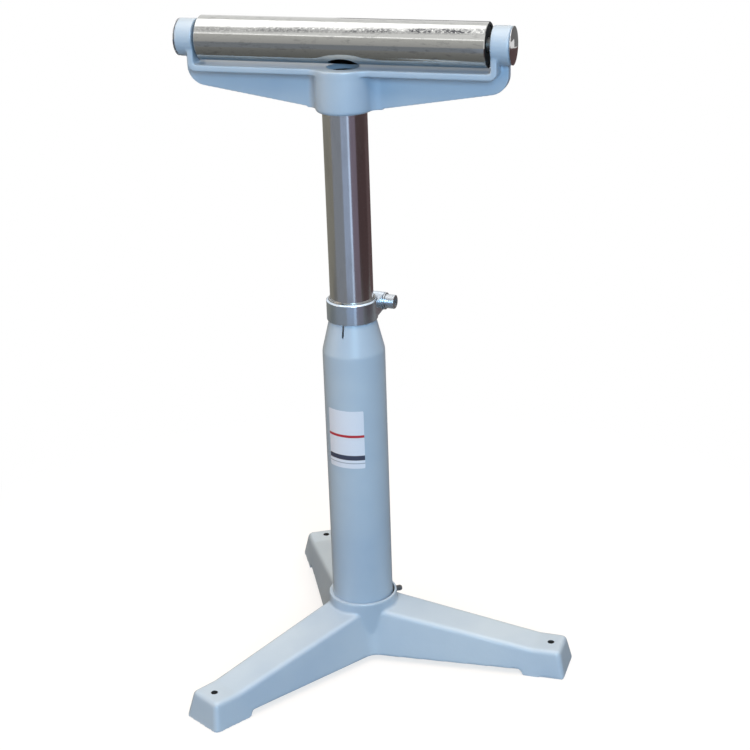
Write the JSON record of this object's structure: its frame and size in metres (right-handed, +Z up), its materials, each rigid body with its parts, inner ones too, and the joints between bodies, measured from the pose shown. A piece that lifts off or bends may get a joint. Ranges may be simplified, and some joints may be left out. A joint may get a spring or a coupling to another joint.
{
  "type": "roller stand",
  "caption": "Workshop roller stand: cast tripod base, painted column, clamped chrome mast that slides and swivels, and a steel roller on ball bearings in a cast yoke.",
  "frame": {"origin": "on the floor under the column's axis, with the mast at the picture's height", "axes": "+Z up along the column, +X along the roller and over one leg, +Y to the back"},
  "size_m": [0.4941, 0.5158, 0.848],
  "materials": {
    "paint": "semi-gloss light blue-grey enamel on castings and tube",
    "chrome": "bright chrome plate with fine draw lines along the tube",
    "roller_steel": "ground and polished steel with fine scuffs round the roller",
    "zinc": "satin zinc plate",
    "bright_cap": "bright pressed steel",
    "steel": "bright machined steel",
    "dark_disc": "matt black",
    "black_oxide": "black oxide",
    "nylon": "moulded black nylon"
  },
  "bodies": {
    "stand": {"base_casting": "paint", "column_set_screw": "black_oxide", "column_tube": "paint", "clamp_ring": "zinc"},
    "clamp_screw": {"clamp_screw": "zinc", "clamp_washer": "zinc"},
    "mast_guide": {"mast_guide_bush": "nylon", "mast_snap_ring": "steel"},
    "mast": {"mast_tube": "chrome", "yoke_casting": "paint", "yoke_set_screw": "black_oxide", "bearing_outer_race_left": "steel", "bearing_outer_race_right": "steel", "dust_cap_left": "bright_cap", "dust_cap_right": "bright_cap"},
    "ball_cage_left": {"bearing_ball_cage_left": "steel"},
    "ball_cage_right": {"bearing_ball_cage_right": "steel"},
    "roller": {"roller_tube": "roller_steel", "roller_axle": "steel", "roller_end_disc_left": "dark_disc", "bearing_inner_race_left": "steel", "axle_circlip_left": "black_oxide", "roller_end_disc_right": "dark_disc", "bearing_inner_race_right": "steel", "axle_circlip_right": "black_oxide"}
  },
  "joints": [
    {"name": "clamp_screw_turn", "type": "hinge", "parent": "stand", "child": "clamp_screw", "pos_m": [0.00338, 0.03865, 0.4835], "axis": [0.9962, -0.0872, 0], "range_deg": [0, 360]},
    {"name": "mast_height", "type": "slide", "parent": "stand", "child": "mast_guide", "axis": [0, 0, 1], "range_m": [-0.235, 0.149]},
    {"name": "mast_swivel", "type": "hinge", "parent": "mast_guide", "child": "mast", "pos_m": [0, 0, 0.5], "axis": [0, 0, 1], "continuous": true},
    {"name": "roller_spin", "type": "hinge", "parent": "mast", "child": "roller", "pos_m": [0, 0, 0.821], "axis": [1, 0, 0], "continuous": true},
    {"name": "ball_cage_left_spin", "type": "hinge", "parent": "mast", "child": "ball_cage_left", "pos_m": [0, 0, 0.821], "axis": [1, 0, 0], "continuous": true},
    {"name": "ball_cage_right_spin", "type": "hinge", "parent": "mast", "child": "ball_cage_right", "pos_m": [0, 0, 0.821], "axis": [1, 0, 0], "continuous": true}
  ],
  "couplings": [
    {"joint": "ball_cage_left_spin", "follows": "roller_spin", "ratio": 0.382},
    {"joint": "ball_cage_right_spin", "follows": "roller_spin", "ratio": 0.382}
  ]
}
